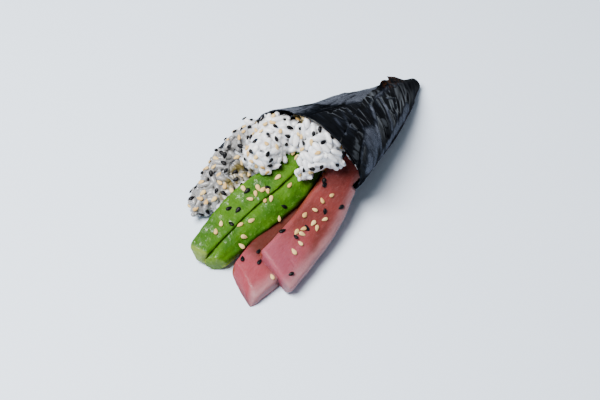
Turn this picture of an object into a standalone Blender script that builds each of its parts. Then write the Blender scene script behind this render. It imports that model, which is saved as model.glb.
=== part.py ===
"""Temaki hand roll, lying on its side: a cone of nori holding rice, two avocado slices and two tuna strips.

Metres, +Z up. The roll's own axis runs along X, with its tip towards +X and its mouth and fillings towards -X,
and the table is at z = 0. The origin is at the bottom centre of the whole roll.
"""

import math

import bmesh
import bpy
from mathutils import Vector

# Where the roll lies: the tip of the cone, counted from the middle of the whole roll.
TIP = Vector((0.0833, -0.0091, 0.0))

# The sheet of nori, wrapped round the fillings once and a little more.
NORI_THICK = 0.0004
LAYER_STEP = 0.0010        # from one turn of the sheet to the next
NORI_SINK = 0.0006         # how far the round underside is pressed flat by the table
WRAP_START = -340.0        # degrees round the axis, where the sheet's inner edge is
SEAM_AT_TIP = 118.0        # degrees, where the sheet's outer edge ends near the tip
SEAM_AT_MOUTH = 52.0       # degrees, and at the mouth
SEAM_TURNS_FROM = 0.018    # the stretch of the cone along which the seam crosses it
SEAM_TURNS_TO = 0.0875
TIP_CUT = 0.0055           # the sheet starts this far behind the point of the cone
MOUTH_FRONT = 0.0875       # from the tip to the mouth, on the side that closes over the fillings
MOUTH_BACK = 0.1280        # and on the side left open as a trough
TROUGH_AT = 238.0          # degrees, the middle of the trough
TROUGH_NARROWNESS = 8.0

# The cone's sections: distance behind the tip, middle, half width, height.
CONE_SECTIONS = (
    (0.0000, -0.0012, 0.0011, 0.0028),
    (0.0120, -0.0011, 0.0045, 0.0094),
    (0.0250, -0.0012, 0.0090, 0.0172),
    (0.0400, -0.0012, 0.0132, 0.0250),
    (0.0550, -0.0004, 0.0172, 0.0332),
    (0.0700, 0.0002, 0.0202, 0.0402),
    (0.0840, 0.0034, 0.0252, 0.0450),
    (0.0970, 0.0110, 0.0318, 0.0425),
    (0.1100, 0.0148, 0.0343, 0.0330),
    (0.1300, 0.0160, 0.0360, 0.0200),
)

CONE_ROWS = 12             # rows of points along the cone,
ROW_CROWDING = 0.8         # which lie closer together towards the mouth, where it flares
SHEET_COLUMNS = 52         # points across the sheet
MOULD_TURNS = 44           # points round the cone, for the mould

# Soft pieces press against each other, and each keeps this gap to the one that shapes it.
CLEARANCE = 0.00035
MOULD_GAP = 0.00058        # the same, between the sheet and what it holds
MOULD_PAST_MOUTH = 0.0016  # how far past its own edge the sheet shapes what it holds
MOULD_THICK = 0.0200

# Strips of tuna and avocado.
STRIP_RINGS = 10           # sections from end to end
END_ROUNDING = 0.0018      # how far in from its ends a strip is rounded

# Distance behind the tip, then y, z, width, thickness and bank in degrees at the middle of the strip.
TUNA_LOWER = (
    (0.0660, -0.0045, 0.0112, 0.0150, 0.0080, -8),
    (0.0850, -0.0060, 0.0090, 0.0180, 0.0085, -8),
    (0.1100, -0.0065, 0.0062, 0.0210, 0.0088, -5),
    (0.1380, -0.0082, 0.0042, 0.0222, 0.0078, -5),
    (0.1540, -0.0070, 0.0030, 0.0188, 0.0056, -6),
)
TUNA_UPPER = (
    (0.0660, -0.0098, 0.0186, 0.0150, 0.0072, -50),
    (0.0850, -0.0126, 0.0163, 0.0164, 0.0075, -42),
    (0.0950, -0.0142, 0.0135, 0.0178, 0.0075, -36),
    (0.1050, -0.0153, 0.0109, 0.0197, 0.0075, -31),
    (0.1180, -0.0163, 0.0092, 0.0203, 0.0075, -26),
    (0.1320, -0.0164, 0.0083, 0.0211, 0.0075, -23),
    (0.1445, -0.0166, 0.0078, 0.0218, 0.0070, -22),
)
AVOCADO_RIGHT = (
    (0.0660, 0.0030, 0.0200, 0.0105, 0.0082, -29),
    (0.0900, 0.0026, 0.0172, 0.0128, 0.0088, -26),
    (0.1050, 0.0022, 0.0140, 0.0137, 0.0090, -24),
    (0.1200, 0.0046, 0.0111, 0.0140, 0.0090, -22),
    (0.1300, 0.0072, 0.0090, 0.0140, 0.0088, -20),
    (0.1400, 0.0096, 0.0068, 0.0135, 0.0083, -17),
    (0.1535, 0.0103, 0.0042, 0.0088, 0.0070, -10),
)
AVOCADO_LEFT = (
    (0.0660, 0.0084, 0.0240, 0.0108, 0.0084, -7),
    (0.0900, 0.0090, 0.0212, 0.0125, 0.0090, -8),
    (0.1100, 0.0120, 0.0168, 0.0133, 0.0095, -8),
    (0.1200, 0.0148, 0.0144, 0.0137, 0.0095, -8),
    (0.1300, 0.0168, 0.0118, 0.0138, 0.0095, -7),
    (0.1400, 0.0177, 0.0094, 0.0126, 0.0095, -6),
    (0.1480, 0.0184, 0.0075, 0.0112, 0.0092, -5),
    (0.1550, 0.0185, 0.0060, 0.0096, 0.0088, -4),
)

# The rice heaped in the mouth is three clumps with clefts between them, and each is made of lumps.
# A lump's row: distance behind the tip, y, z, then its three radii.
RICE_CLUMPS = (
    (   # beside the tuna
        (0.0910, -0.0026, 0.0310, 0.0078, 0.0098, 0.0090),
        (0.0998, -0.0012, 0.0262, 0.0058, 0.0048, 0.0060),
        (0.0890, -0.0100, 0.0285, 0.0055, 0.0065, 0.0050),
        (0.0860, 0.0022, 0.0350, 0.0080, 0.0125, 0.0085),
    ),
    (   # over the avocado
        (0.1022, 0.0190, 0.0268, 0.0112, 0.0100, 0.0105),
        (0.1040, 0.0220, 0.0225, 0.0090, 0.0088, 0.0075),
        (0.0900, 0.0203, 0.0308, 0.0082, 0.0114, 0.0080),
        (0.0850, 0.0100, 0.0200, 0.0080, 0.0210, 0.0170),
    ),
    (   # along the far side of the trough
        (0.0950, 0.0290, 0.0240, 0.0095, 0.0095, 0.0078),
        (0.0970, 0.0345, 0.0190, 0.0100, 0.0090, 0.0072),
        (0.1070, 0.0370, 0.0130, 0.0110, 0.0090, 0.0075),
        (0.1170, 0.0365, 0.0090, 0.0110, 0.0090, 0.0068),
        (0.1265, 0.0370, 0.0062, 0.0080, 0.0078, 0.0060),
        (0.1295, 0.0355, 0.0045, 0.0078, 0.0070, 0.0045),
        (0.1100, 0.0280, 0.0080, 0.0220, 0.0110, 0.0070),
    ),
)
PLUG_FROM = 0.0100         # the rice inside the cone, as distances behind the tip
PLUG_TO = 0.0800
PLUG_SPARE = 0.0020        # the plug is this much too fat before the sheet trims it
PLUG_TURNS = 20            # points round it
PLUG_ROWS = 7              # and rows of them along it
RICE_VOXEL = 0.0044        # the size of detail kept where the lumps join


def between(stations, at):
    """The rest of a station's row at distance `at`, on a smooth curve through the rows."""
    rows = [tuple(row) for row in stations]
    last = len(rows) - 1
    k = next((i for i in range(last) if at <= rows[i + 1][0]), last - 1)
    before, a, b, after = rows[max(k - 1, 0)], rows[k], rows[k + 1], rows[min(k + 2, last)]
    span = b[0] - a[0]
    t = (at - a[0]) / span
    values = []
    for column in range(1, len(a)):
        slope_a = (b[column] - before[column]) / (b[0] - before[0]) * span
        slope_b = (after[column] - a[column]) / (after[0] - a[0]) * span
        values.append(
            (2 * t**3 - 3 * t**2 + 1) * a[column]
            + (t**3 - 2 * t**2 + t) * slope_a
            + (3 * t**2 - 2 * t**3) * b[column]
            + (t**3 - t**2) * slope_b
        )
    return values


def solid(name, verts, faces, material=None):
    """A closed mesh object from points and faces, with its faces turned outwards."""
    mesh = bpy.data.meshes.new(name)
    mesh.from_pydata([tuple(v) for v in verts], [], faces)
    bm = bmesh.new()
    bm.from_mesh(mesh)
    bmesh.ops.recalc_face_normals(bm, faces=bm.faces)
    bm.to_mesh(mesh)
    bm.free()
    mesh.shade_smooth()
    obj = bpy.data.objects.new(name, mesh)
    bpy.context.scene.collection.objects.link(obj)
    if material:
        mesh.materials.append(material)
    return obj


def helper(obj):
    """Marks a cutter, which isn't part of the roll."""
    obj.hide_render = True
    obj.display_type = "WIRE"
    return obj


def material(name, colour, roughness):
    """A plain material of one colour."""
    made = bpy.data.materials.new(name)
    made.use_nodes = True
    shader = made.node_tree.nodes["Principled BSDF"]
    shader.inputs["Base Color"].default_value = (*colour, 1.0)
    shader.inputs["Roughness"].default_value = roughness
    shader.inputs["Metallic"].default_value = 0.0
    return made


def cut(obj, cutter, operation="DIFFERENCE"):
    """Cuts the cutter's shape out of obj, or joins the two with operation UNION."""
    modifier = obj.modifiers.new(operation.lower(), "BOOLEAN")
    modifier.operation = operation
    modifier.solver = "EXACT"
    modifier.object = cutter


# ---- the nori sheet ------------------------------------------------------------------------------------------


def mouth_distance(degrees):
    """How far behind the tip the sheet ends: short over the fillings, long in the trough."""
    facing = (1 + math.cos(math.radians(degrees - TROUGH_AT))) / 2
    return MOUTH_FRONT + (MOUTH_BACK - MOUTH_FRONT) * facing**TROUGH_NARROWNESS


def seam_degrees(distance):
    """Where the sheet's outer edge is. It crosses the cone from the far side at the tip to the near side."""
    t = min(1.0, max(0.0, (distance - SEAM_TURNS_FROM) / (SEAM_TURNS_TO - SEAM_TURNS_FROM)))
    return SEAM_AT_TIP + (SEAM_AT_MOUTH - SEAM_AT_TIP) * t


def cone_point(degrees, distance, outward=0.0):
    """A point round the cone: 0 degrees faces -Y, 90 is the top, 180 faces +Y and 270 is underneath."""
    middle, half_width, height = between(CONE_SECTIONS, distance)
    a = math.radians(degrees)
    y = middle - (half_width + outward) * math.cos(a)
    z = height / 2 + (height / 2 + outward) * math.sin(a) - NORI_SINK
    return Vector((TIP.x - distance, TIP.y + y, z))


def layer_outward(degrees):
    """The sheet lies a little further out on each turn, and its underside is on the cone's own surface."""
    return LAYER_STEP * (degrees + 90.0) / 360.0


def row_shares():
    """How far along the cone each row of points lies, from 0 to 1."""
    return [(j / CONE_ROWS) ** ROW_CROWDING for j in range(CONE_ROWS + 1)]


def sheet_grid():
    """(degrees, distance) at each point of the sheet, from its inner edge to its seam and from tip to mouth.

    The seam's angle depends on the distance and the mouth's distance on the angle, so each point is settled
    by going from one to the other a few times.
    """
    grid = []
    for i in range(SHEET_COLUMNS + 1):
        across = i / SHEET_COLUMNS
        line = []
        for along in row_shares():
            distance = TIP_CUT + (MOUTH_FRONT - TIP_CUT) * along
            degrees = WRAP_START
            for _ in range(6):
                degrees = WRAP_START + (seam_degrees(distance) - WRAP_START) * across
                distance = TIP_CUT + (mouth_distance(degrees) - TIP_CUT) * along
            line.append((degrees, distance))
        grid.append(line)
    return grid


def shell(grid, inside, outside, floor_inside, floor_outside, loop=False):
    """Points and faces of the closed wall between two offsets of the sheet."""
    columns, rows = len(grid), len(grid[0])
    verts = []
    for outward, floor in ((inside, floor_inside), (outside, floor_outside)):
        for line in grid:
            for degrees, distance in line:
                point = cone_point(degrees, distance, outward(degrees))
                point.z = max(point.z, floor)
                verts.append(point)
    side = columns * rows

    def at(layer, i, j):
        return layer * side + (i % columns) * rows + j

    faces = []
    steps = columns if loop else columns - 1
    for i in range(steps):
        for j in range(rows - 1):
            for layer in (0, 1):
                faces.append((at(layer, i, j), at(layer, i + 1, j), at(layer, i + 1, j + 1), at(layer, i, j + 1)))
        for j in (0, rows - 1):
            faces.append((at(0, i, j), at(0, i + 1, j), at(1, i + 1, j), at(1, i, j)))
    if not loop:
        for j in range(rows - 1):
            for i in (0, columns - 1):
                faces.append((at(0, i, j), at(0, i, j + 1), at(1, i, j + 1), at(1, i, j)))
    return verts, faces


def make_nori():
    dark = material("nori", (0.012, 0.015, 0.018), 0.38)
    verts, faces = shell(
        sheet_grid(),
        inside=lambda d: layer_outward(d) - NORI_THICK / 2,
        outside=lambda d: layer_outward(d) + NORI_THICK / 2,
        floor_inside=NORI_THICK,
        floor_outside=0.0,
    )
    solid("nori", verts, faces, dark)


def make_mould():
    """Everything outside the sheet's inner face, as a thick funnel that trims what the sheet holds."""
    inner = layer_outward(WRAP_START) - NORI_THICK / 2 - MOULD_GAP
    grid = []
    for i in range(MOULD_TURNS):
        degrees = 360.0 * i / MOULD_TURNS
        length = mouth_distance(degrees) + MOULD_PAST_MOUTH - TIP_CUT
        grid.append([(degrees, TIP_CUT + length * along) for along in row_shares()])
    verts, faces = shell(
        grid,
        inside=lambda d: inner,
        outside=lambda d: MOULD_THICK,
        floor_inside=NORI_THICK + MOULD_GAP,
        floor_outside=-MOULD_THICK,
        loop=True,
    )
    return helper(solid("mould", verts, faces))


# ---- the strips of tuna and avocado --------------------------------------------------------------------------


def section_points(half_width, half_thick, corner, crown):
    """A rounded rectangle with faces that swell by `crown`: 20 points round it."""
    points = []
    for quarter in range(4):
        side_x = 1 if quarter in (0, 3) else -1
        side_z = 1 if quarter in (0, 1) else -1
        middle_x, middle_z = side_x * (half_width - corner), side_z * (half_thick - corner)
        for step in range(3):
            a = math.pi / 2 * (quarter + step / 2)
            points.append((middle_x + corner * math.cos(a), middle_z + corner * math.sin(a)))
        if quarter in (0, 2):
            for share in (0.5, 0.0, -0.5):
                x = side_x * share * (half_width - corner)
                points.append((x, side_z * (half_thick + crown * (1 - share * share))))
        else:
            points.append((side_x * (half_width + crown * 0.5), 0.0))
    return points


def strip(name, stations, shape, finish=None, grow=0.0):
    """A long slice swept along its stations, with softly rounded ends; grow makes it fatter, for a cutter.

    shape: corner radius, crown, skew of its outer end, how far the end's foot juts out, how much
    narrower its underside is than its top, and how far the underside leans to -Y.
    """
    corner, crown, skew, foot, narrow, lean = shape
    first, last = stations[0][0], stations[-1][0]
    # Each ring's distance behind the tip, and its size as a share of the full section.
    places = [(first - grow, 0.70), (first + END_ROUNDING * 0.3, 0.90), (first + END_ROUNDING, 1.0)]
    places += [(first + (last - first) * k / STRIP_RINGS, 1.0) for k in range(1, STRIP_RINGS)]
    places += [(last - END_ROUNDING, 1.0), (last - END_ROUNDING * 0.35, 0.96), (last + grow, 0.86)]
    verts = []
    for distance, scale in places:
        y_mid, z_mid, width, thick, bank = between(stations, min(max(distance, first), last))
        b = math.radians(bank)
        share = min(1.0, max(0.0, (distance - first) / (last - first)))
        half_width, half_thick = width / 2 * scale + grow, thick / 2 * scale + grow
        for w, h in section_points(half_width, half_thick, corner * scale + grow, crown * scale):
            across, up = w / half_width, h / half_thick
            w = w * (1 - narrow * (1 - up) / 2) + lean * (1 - up) / 2
            x = TIP.x - distance - skew * across * share**6 - foot * (1 - up) / 2 * share**8
            y = TIP.y + y_mid - w * math.cos(b) + h * math.sin(b)
            verts.append(Vector((x, y, max(z_mid + w * math.sin(b) + h * math.cos(b), -grow))))
    count = len(verts) // len(places)
    faces = []
    for ring in range(len(places) - 1):
        for k in range(count):
            a, b = ring * count + k, ring * count + (k + 1) % count
            faces.append((a, b, b + count, a + count))
    faces.append(tuple(range(count)))
    faces.append(tuple((len(places) - 1) * count + k for k in range(count)))
    return solid(name, verts, faces, finish)


STRIPS = (
    ("tuna_lower", TUNA_LOWER, (0.0016, 0.0004, 0.0046, 0.0030, 0.0, 0.0)),
    ("tuna_upper", TUNA_UPPER, (0.0022, 0.0004, 0.0024, 0.0000, 0.0, 0.0)),
    ("avocado_right", AVOCADO_RIGHT, (0.0030, 0.0008, -0.0020, 0.0005, 0.15, 0.0)),
    ("avocado_left", AVOCADO_LEFT, (0.0026, 0.0006, -0.0004, 0.0000, 0.45, 0.0016)),
)


def make_strips(mould):
    """The strips in the order in which they lie on each other, each pressed by those before it.

    Returns a cutter for each strip, which makes room for it in what lies against it.
    """
    finishes = {
        "tuna": material("tuna", (0.50, 0.16, 0.15), 0.35),
        "avocado": material("avocado", (0.25, 0.45, 0.05), 0.40),
    }
    cutters = []
    for name, stations, shape in STRIPS:
        piece = strip(name, stations, shape, finishes[name.split("_")[0]])
        for cutter in cutters:
            cut(piece, cutter)
        cut(piece, mould)
        cutters.append(helper(strip(name + "_room", stations, shape, grow=CLEARANCE)))
    return cutters


# ---- the rice ------------------------------------------------------------------------------------------------


def add_lump(clump, distance, y, z, radius_x, radius_y, radius_z):
    """Adds one lump to a clump: an ellipsoid, flat where it would go through the sheet underneath."""
    for vert in bmesh.ops.create_icosphere(clump, subdivisions=2, radius=1.0)["verts"]:
        x = TIP.x - distance + vert.co.x * radius_x
        lowest = NORI_THICK + CLEARANCE
        vert.co = Vector((x, TIP.y + y + vert.co.y * radius_y, max(z + vert.co.z * radius_z, lowest)))


def make_plug():
    """The rice inside the cone, a little too fat: the mould trims it to the sheet."""
    verts = []
    for j in range(PLUG_ROWS + 1):
        distance = PLUG_FROM + (PLUG_TO - PLUG_FROM) * j / PLUG_ROWS
        for i in range(PLUG_TURNS):
            verts.append(cone_point(360.0 * i / PLUG_TURNS, distance, PLUG_SPARE))
    faces = [tuple(range(PLUG_TURNS)), tuple(PLUG_ROWS * PLUG_TURNS + i for i in range(PLUG_TURNS))]
    for j in range(PLUG_ROWS):
        for i in range(PLUG_TURNS):
            a, b = j * PLUG_TURNS + i, j * PLUG_TURNS + (i + 1) % PLUG_TURNS
            faces.append((a, b, b + PLUG_TURNS, a + PLUG_TURNS))
    return helper(solid("plug", verts, faces))


def make_clump(name, lumps):
    """One clump of the heap, its lumps melted together."""
    bm = bmesh.new()
    for row in lumps:
        add_lump(bm, *row)
    mesh = bpy.data.meshes.new(name)
    bm.to_mesh(mesh)
    bm.free()
    clump = bpy.data.objects.new(name, mesh)
    bpy.context.scene.collection.objects.link(clump)
    remesh = clump.modifiers.new("melt", "REMESH")
    remesh.mode = "VOXEL"
    remesh.voxel_size = RICE_VOXEL
    return clump


def make_rice(mould, strip_cutters):
    """Sticky rice: a plug that fills the cone and the clumps heaped in its mouth, as one solid."""
    rice = make_clump("rice", RICE_CLUMPS[0])
    rice.data.materials.append(material("rice", (0.80, 0.80, 0.78), 0.45))
    for lumps in RICE_CLUMPS[1:]:
        cut(rice, helper(make_clump("clump", lumps)), "UNION")
    cut(rice, make_plug(), "UNION")
    cut(rice, mould)
    for cutter in strip_cutters:
        cut(rice, cutter)


def main():
    for obj in list(bpy.data.objects):
        bpy.data.objects.remove(obj)
    make_nori()
    mould = make_mould()
    make_rice(mould, make_strips(mould))


main()
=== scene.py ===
"""The looks of a temaki hand roll on its side: a cone of nori with rice, avocado and tuna in its mouth.

Metres, +Z up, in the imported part's own frame: the cone's axis runs along X with its tip towards +X, and the
roll lies on z = 0.
"""

import math
import random

import bmesh
import bpy
import numpy as np
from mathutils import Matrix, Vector, noise
from mathutils.bvhtree import BVHTree
from mathutils.kdtree import KDTree


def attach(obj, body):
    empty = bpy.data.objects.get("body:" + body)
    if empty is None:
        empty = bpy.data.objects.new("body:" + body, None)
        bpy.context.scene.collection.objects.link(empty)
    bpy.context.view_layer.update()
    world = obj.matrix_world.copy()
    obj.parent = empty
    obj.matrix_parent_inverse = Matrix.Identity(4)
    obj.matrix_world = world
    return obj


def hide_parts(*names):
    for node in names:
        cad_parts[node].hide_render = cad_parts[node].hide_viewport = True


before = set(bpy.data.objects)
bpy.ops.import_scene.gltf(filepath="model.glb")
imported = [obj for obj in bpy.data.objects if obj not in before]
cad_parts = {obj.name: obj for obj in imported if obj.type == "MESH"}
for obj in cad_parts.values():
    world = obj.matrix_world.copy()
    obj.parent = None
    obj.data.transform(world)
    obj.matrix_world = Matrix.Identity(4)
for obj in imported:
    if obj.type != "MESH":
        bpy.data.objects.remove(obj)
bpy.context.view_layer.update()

# ---- the table, the light and the view -----------------------------------
# The roll lies on a plain pale table. One broad soft light hangs over it, a little behind, a low cool light
# shines along the nori from the far right, and the room itself is dim.

ROLL_MIDDLE = Vector((0.0, 0.0, 0.015))


def aim(obj, place, at):
    """Puts a light or a camera in its place, looking at a point."""
    obj.location = place
    obj.rotation_euler = (Vector(place) - Vector(at)).to_track_quat("Z", "Y").to_euler()
    bpy.context.scene.collection.objects.link(obj)


def soft_light(name, place, width, depth, watts, colour):
    lamp = bpy.data.lights.new(name, "AREA")
    lamp.shape = "RECTANGLE"
    lamp.size = width
    lamp.size_y = depth
    lamp.energy = watts
    lamp.color = colour
    aim(bpy.data.objects.new(name, lamp), place, ROLL_MIDDLE)


VIEW_AZIMUTH = math.radians(-54.78)
VIEW_ELEVATION = math.radians(49.47)
view_back = Vector((math.sin(VIEW_AZIMUTH), -math.cos(VIEW_AZIMUTH), math.tan(VIEW_ELEVATION)))
VIEW_PLACE = Vector((-0.43477, -0.30295, 0.60170))
camera = bpy.data.objects.new("camera", bpy.data.cameras.new("camera"))
camera.data.sensor_width = 36.0
camera.data.lens = 102.06
camera.data.clip_start = 0.01
aim(camera, VIEW_PLACE, VIEW_PLACE - view_back)
bpy.context.scene.camera = camera

soft_light("key", (-0.34, 0.24, 0.82), 0.60, 0.50, 27.0, (1.0, 0.99, 0.97))
soft_light("low_light", (0.62, -0.78, 0.20), 0.36, 0.20, 0.8, (0.72, 0.84, 1.0))

room = bpy.data.worlds.new("room")
room.use_nodes = True
glow = room.node_tree.nodes["Background"].inputs
glow["Color"].default_value = (0.84, 0.90, 1.0, 1.0)
glow["Strength"].default_value = 0.25
bpy.context.scene.world = room


class Wire:
    """A number on its way through a material. Python's operators on it add the Math nodes."""

    def __init__(self, finish, socket):
        self.finish = finish
        self.socket = socket

    def math(self, operation, *terms):
        return self.finish.node("ShaderNodeMath", {"operation": operation}, dict(enumerate(terms)))

    def __add__(self, other):
        return self.math("ADD", self, other)

    def __sub__(self, other):
        return self.math("SUBTRACT", self, other)

    def __rsub__(self, other):
        return self.math("SUBTRACT", other, self)

    def __mul__(self, other):
        return self.math("MULTIPLY", self, other)

    def __abs__(self):
        return self.math("ABSOLUTE", self)

    __radd__ = __add__
    __rmul__ = __mul__


class Finish:
    """A material on the Principled shader, and what is needed to draw its details."""

    def __init__(self, name, **values):
        self.material = bpy.data.materials.new(name)
        self.material.use_nodes = True
        self.nodes = self.material.node_tree.nodes
        self.links = self.material.node_tree.links
        self.shader = self.nodes["Principled BSDF"]
        for key, value in values.items():
            self.feed(key.replace("_", " "), value)

    def feed(self, socket, value):
        """Sets one of the shader's sockets, or leads a wire to it."""
        self._fill(self.shader.inputs[socket], value)

    def _fill(self, socket, value):
        if isinstance(value, Wire):
            self.links.new(value.socket, socket)
        elif isinstance(value, (tuple, list)) and socket.type == "RGBA":
            socket.default_value = (*value[:3], 1.0)
        else:
            socket.default_value = value

    def node(self, kind, settings=None, sockets=None, output=0):
        """Adds any node, settings first, then its sockets' values or wires. Returns one of its outputs."""
        made = self.nodes.new(kind)
        for key, value in (settings or {}).items():
            setattr(made, key, value)
        for key, value in (sockets or {}).items():
            self._fill(made.inputs[key], value)
        return Wire(self, made.outputs[output])

    def place(self):
        """The point on the surface, in metres from the part's origin."""
        return self.node("ShaderNodeTexCoord", output="Object")

    def mark(self, name):
        """A value that the mesh carries at each of its points."""
        return self.node("ShaderNodeAttribute", {"attribute_name": name}, output="Fac")

    def vector(self, x, y, z):
        return self.node("ShaderNodeCombineXYZ", {}, {"X": x, "Y": y, "Z": z})

    def stretch(self, vector, x, y, z):
        """A vector scaled by a different amount along each axis."""
        return self.node("ShaderNodeVectorMath", {"operation": "MULTIPLY"}, {0: vector, 1: (x, y, z)})

    def speckle(self, vector, per_metre, detail=2.0, roughness=0.5, distortion=0.0):
        """Soft random patches from 0 to 1, so many to a metre."""
        sockets = {"Vector": vector, "Scale": per_metre, "Detail": detail}
        sockets.update({"Roughness": roughness, "Distortion": distortion})
        return self.node("ShaderNodeTexNoise", {}, sockets)

    def step(self, value, low, high):
        """0 below low and 1 above high, with a smooth change between them."""
        sockets = {"Value": value, "From Min": low, "From Max": high}
        return self.node("ShaderNodeMapRange", {"interpolation_type": "SMOOTHSTEP"}, sockets)

    def crest(self, patches, low):
        """Thin lines through a speckle's middle value."""
        return self.step(1 - abs(patches * 5.0 - 2.5), low, 1.0)

    def blend(self, share, below, above):
        """One colour where share is 0 and the other where it is 1."""
        sockets = {"Factor": share, 6: below, 7: above}
        return self.node("ShaderNodeMix", {"data_type": "RGBA"}, sockets, output=2)

    def glow(self, weight, reach, scale):
        """Lets light spread under the surface."""
        self.feed("Subsurface Weight", weight)
        self.feed("Subsurface Radius", reach)
        self.feed("Subsurface Scale", scale)

    def relief(self, height, depth):
        """Raises the surface by height times depth, in metres."""
        self.feed("Normal", self.node("ShaderNodeBump", {}, {"Height": height, "Distance": depth}))


table_finish = Finish("table_glaze", Base_Color=(0.76, 0.86, 1.0), Roughness=0.45)
table_finish.relief(table_finish.speckle(table_finish.place(), 900.0), 0.00002)
bpy.ops.mesh.primitive_plane_add(size=6.0)
table = bpy.context.object
table.name = "table"
table.data.materials.append(table_finish.material)

# ---- the nori ------------------------------------------------------------
# One sheet of dried seaweed, wound once round the fillings and a little more. It is thin as paper, dry and
# finely wrinkled, and its outer edge stands off the layer below, most of all at a torn corner near the tip.

TIP = Vector((0.0833, -0.0091, 0.0))
NORI_THICK = 0.0004
LAYER_STEP = 0.0010  # from one turn of the sheet to the next
NORI_SINK = 0.0006  # how far the round underside is pressed flat by the table
WRAP_START = -340.0  # degrees round the axis, where the sheet's inner edge is
SEAM_AT_TIP = 118.0  # degrees, where the sheet's outer edge is near the tip
SEAM_AT_MOUTH = 52.0
SEAM_TURNS_FROM = 0.018  # behind the tip, where the edge begins to run over to the front
SEAM_TURNS_TO = 0.0875
TIP_CUT = 0.0055  # behind the tip, where the sheet begins
MOUTH_FRONT = 0.0875  # from the tip to the mouth, where the sheet closes over the fillings
MOUTH_BACK = 0.1280  # and in the trough that it leaves open
TROUGH_AT = 238.0  # degrees
TROUGH_NARROWNESS = 8.0
CORNER_LIFT = 0.0026  # how far the torn corner stands off
SEAM_LIFT = 0.0009  # and the rest of the seam
RIM_FLARE = 0.0010  # how far the far side opens at the mouth
NORI_COLUMNS = 300
NORI_ROWS = 150

# The cone's sections: distance behind the tip, middle, half width, height.
CONE_SECTIONS = (
    (0.0000, -0.0012, 0.0011, 0.0028),
    (0.0120, -0.0011, 0.0045, 0.0094),
    (0.0250, -0.0012, 0.0090, 0.0172),
    (0.0400, -0.0012, 0.0132, 0.0250),
    (0.0550, -0.0004, 0.0172, 0.0332),
    (0.0700, 0.0002, 0.0202, 0.0402),
    (0.0840, 0.0034, 0.0252, 0.0450),
    (0.0970, 0.0110, 0.0318, 0.0425),
    (0.1100, 0.0148, 0.0343, 0.0330),
    (0.1300, 0.0160, 0.0360, 0.0200),
)

# Folds and creases: the places (degrees, mm behind the tip) they run through, half width and height in
# mm, and how much painted sheen lightens their face. Below 0 they are black and glossy.
FOLDS = (
    (((80, 51), (55, 59), (39, 63), (23, 65), (0, 66)), 1.7, 0.9, 0.9),
    (((70, 53), (46, 56), (16, 57)), 2.7, -1.1, -1.2),
    (((58, 46), (38, 50), (20, 52)), 1.7, 0.8, 0.8),
    (((45, 45), (31, 46)), 1.1, -0.5, -1.0),
    (((45, 42), (18, 45)), 1.1, 0.6, 0.7),
    (((30, 40), (14, 44)), 1.0, -0.6, -1.0),
    (((66, 36), (42, 41)), 3.0, -0.6, -1.0),
    (((69, 40), (60, 35)), 0.7, 0.5, 1.3),
    (((50, 38), (42, 40)), 0.8, 0.5, 1.3),
    (((82, 47), (72, 49), (62, 50)), 0.9, 0.5, 0.8),
    (((76, 44), (64, 46), (51, 47)), 0.9, 0.5, 0.7),
    (((82, 9), (60, 20)), 3.0, -0.3, -1.0),
    (((92, 20), (85, 27)), 1.2, 0.3, 0.6),
    (((20, 30), (6, 50), (-8, 66)), 3.6, 0.2, 1.4),
    (((34, 70), (0, 76)), 8.0, 0.3, 1.8),
    (((58, 66), (50, 73)), 5.0, -0.2, -0.6),
    (((46, 76), (38, 81), (26, 86), (10, 88)), 2.2, 0.0, -1.4),
    (((36, 77), (28, 82), (16, 87), (-6, 88)), 1.5, 0.6, 0.8),
    (((82, 72), (59, 78), (50, 76)), 0.8, 0.4, 0.6),
    (((84, 68), (48, 72)), 0.8, 0.4, 0.6),
    (((72, 65), (50, 66)), 0.8, 0.4, 0.5),
    (((78, 79), (55, 83)), 0.9, 0.4, 0.6),
    (((116, 34), (101, 46), (104, 56), (114, 68)), 7.5, 0.2, 2.0),
    (((118, 44), (110, 62), (100, 78)), 0.9, -0.5, -1.4),
    (((104, 52), (94, 66), (88, 78)), 1.0, -0.5, -1.4),
    (((126, 50), (120, 66), (110, 80)), 0.9, 0.5, 0.6),
    (((98, 58), (92, 70)), 0.9, 0.5, 0.7),
)


def between(stations, at):
    """The columns of a table of stations, on a smooth curve through its rows."""
    rows = np.array(stations)
    last = len(rows) - 1
    k = np.clip(np.searchsorted(rows[1:, 0], at), 0, last - 1)
    before, a, b, after = rows[np.maximum(k - 1, 0)], rows[k], rows[k + 1], rows[np.minimum(k + 2, last)]
    span = (b - a)[..., :1]
    t = (np.asarray(at)[..., None] - a[..., :1]) / span
    slope_a = (b - before) / (b - before)[..., :1] * span
    slope_b = (after - a) / (after - a)[..., :1] * span
    ends = (2 * t**3 - 3 * t**2 + 1) * a + (3 * t**2 - 2 * t**3) * b
    curve = ends + (t**3 - 2 * t**2 + t) * slope_a + (t**3 - t**2) * slope_b
    return np.moveaxis(curve[..., 1:], -1, 0)


def ease(value, low, high):
    """0 below low and 1 above high, with a smooth change between them."""
    t = np.clip((value - low) / (high - low), 0.0, 1.0)
    return t * t * (3 - 2 * t)


def mouth_distance(degrees):
    """How far behind the tip the sheet ends."""
    facing = (1 + np.cos(np.radians(degrees - TROUGH_AT))) / 2
    return MOUTH_FRONT + (MOUTH_BACK - MOUTH_FRONT) * facing**TROUGH_NARROWNESS


def seam_degrees(distance):
    """Where the sheet's outer edge is."""
    t = np.clip((distance - SEAM_TURNS_FROM) / (SEAM_TURNS_TO - SEAM_TURNS_FROM), 0.0, 1.0)
    return SEAM_AT_TIP + (SEAM_AT_MOUTH - SEAM_AT_TIP) * t


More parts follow.
